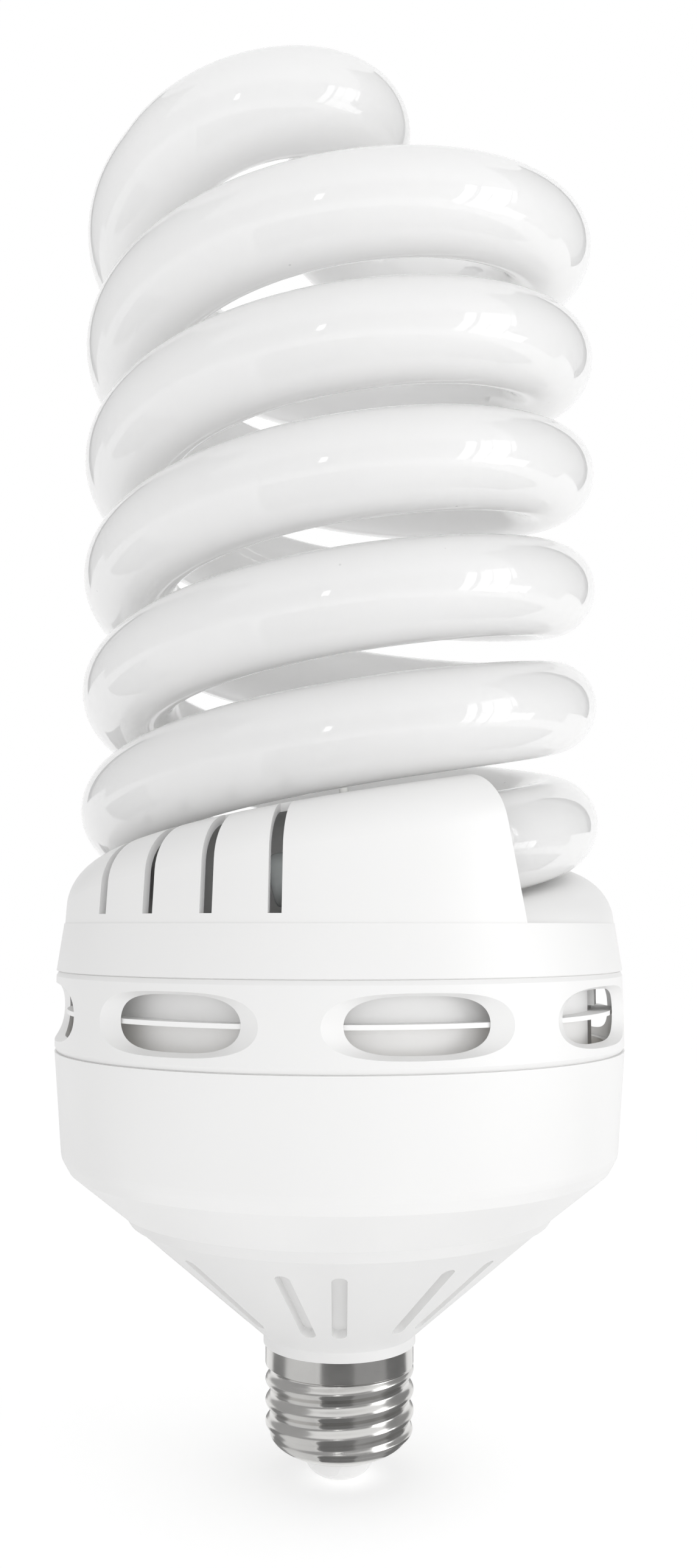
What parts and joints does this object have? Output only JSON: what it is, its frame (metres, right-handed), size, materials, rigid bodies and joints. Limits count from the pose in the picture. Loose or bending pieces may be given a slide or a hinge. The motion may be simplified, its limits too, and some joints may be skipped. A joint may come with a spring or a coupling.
{
  "type": "spiral compact fluorescent lamp",
  "caption": "Screw-in spiral fluorescent lamp: a double-helix glass tube on a round vented ballast housing that tapers to an E27 cap.",
  "frame": {"origin": "lowest point of the centre contact, on the lamp's axis", "axes": "+Z along the lamp's axis from the cap to the top of the tube; -Y is the side that faces the camera in the picture"},
  "size_m": [0.1, 0.1, 0.2447],
  "materials": {
    "phosphor_glass": "glossy opal white",
    "stem_glass": "clear",
    "white_plastic": "satin white",
    "silicone": "satin",
    "nickel_plate": "plated sheet",
    "insulator_white": "gloss white",
    "contact_brass": "tinned brass",
    "board_laminate": "phenolic laminate",
    "capacitor_sleeve": "black sleeve",
    "ferrite": "matte ferrite",
    "winding_tape": "yellow tape over the winding",
    "hook_up_wire": "insulated wire",
    "black_epoxy": "moulded epoxy",
    "film_epoxy": "dipped epoxy",
    "thermistor_epoxy": "dipped epoxy",
    "fuse_coat": "coated",
    "tinned_wire": "bare wire"
  },
  "bodies": {
    "root": {"spiral_tube": "phosphor_glass", "tube_seal_a": "stem_glass", "tube_seal_b": "stem_glass", "tube_holder": "white_plastic", "glue_dabs": "silicone", "vent_ring": "white_plastic", "upper_drum": "white_plastic", "lower_drum": "white_plastic", "partition_plate": "white_plastic", "ballast_bowl": "white_plastic", "cap_cone": "white_plastic", "screw_shell": "nickel_plate", "cap_insulator": "insulator_white", "centre_contact": "contact_brass", "circuit_board": "board_laminate", "storage_capacitor": "capacitor_sleeve", "choke_core": "ferrite", "choke_winding": "winding_tape", "drive_toroid": "ferrite", "drive_windings": "hook_up_wire", "switching_transistor_a": "black_epoxy", "switching_transistor_b": "black_epoxy", "resonant_capacitor": "film_epoxy", "blocking_capacitor": "film_epoxy", "filter_choke": "ferrite", "thermistor": "thermistor_epoxy", "fuse_resistor": "fuse_coat", "rectifier_diodes": "black_epoxy", "live_lead": "hook_up_wire", "neutral_lead": "hook_up_wire", "filament_leads_a": "tinned_wire", "filament_leads_b": "tinned_wire"}
  },
  "joints": []
}
